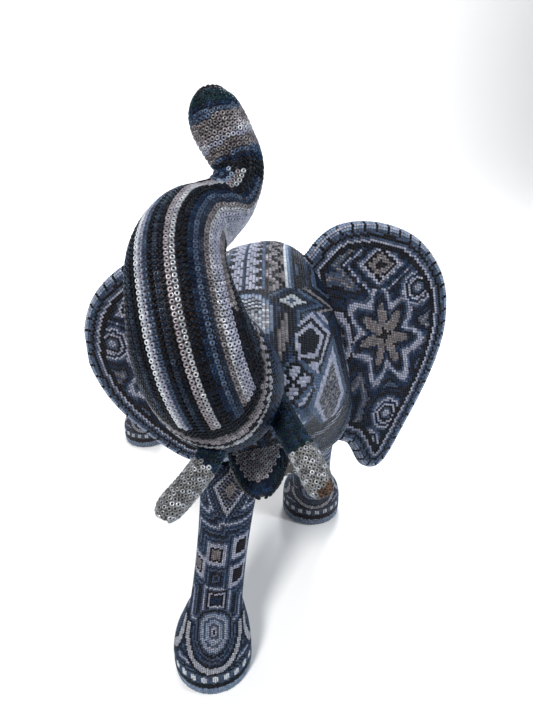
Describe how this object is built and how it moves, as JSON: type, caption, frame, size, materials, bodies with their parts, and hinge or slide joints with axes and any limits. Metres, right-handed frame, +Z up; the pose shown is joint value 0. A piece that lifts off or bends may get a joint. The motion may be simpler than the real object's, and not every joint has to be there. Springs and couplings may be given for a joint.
{
  "type": "beaded elephant figure",
  "caption": "Standing elephant figure with raised trunk, carved wood cores under skins of wax and pressed glass seed beads in grey, navy and pearl patterns.",
  "frame": {"origin": "on the floor under the middle of the figure's box", "axes": "+Z up, -Y the way the figure's body faces, +X to the figure's left; the head is turned and tilted to -X"},
  "size_m": [0.3216, 0.7712, 0.5696],
  "materials": {
    "carved_wood": "bare carved softwood, matt",
    "peg_wood": "turned dowel, matt",
    "body_beads": "glossy opaque and lustred seed beads pressed into wax, black, navy, slate, lavender grey and white motifs",
    "trunk_beads": "metallic and lustred seed beads in lengthwise stripes of black, gunmetal, silver and pearl",
    "pearl_beads": "silvery pearl lustre seed beads",
    "brown_wax": "soft brown beeswax and resin bedding, seen between the beads"
  },
  "bodies": {
    "root": {"torso_core": "carved_wood", "torso_bead_skin": "body_beads", "head_core": "carved_wood", "head_bead_skin": "body_beads", "trunk_core": "carved_wood", "trunk_bead_skin": "trunk_beads", "lower_lip_core": "carved_wood", "lower_lip_bead_skin": "pearl_beads", "tail_core": "carved_wood", "tail_bead_skin": "body_beads", "left_ear_core": "carved_wood", "left_ear_bead_skin": "body_beads", "left_tusk_core": "carved_wood", "left_tusk_bead_skin": "pearl_beads", "right_ear_core": "carved_wood", "right_ear_bead_skin": "body_beads", "right_tusk_core": "carved_wood", "right_tusk_bead_skin": "pearl_beads", "front_right_leg_core": "carved_wood", "front_right_leg_bead_skin": "body_beads", "front_left_leg_core": "carved_wood", "front_left_leg_bead_skin": "body_beads", "rear_right_leg_core": "carved_wood", "rear_right_leg_bead_skin": "body_beads", "rear_left_leg_core": "carved_wood", "rear_left_leg_bead_skin": "body_beads", "neck_peg": "peg_wood", "trunk_peg": "peg_wood", "front_right_leg_peg": "peg_wood", "front_left_leg_peg": "peg_wood", "rear_right_leg_peg": "peg_wood", "rear_left_leg_peg": "peg_wood"}
  },
  "joints": []
}
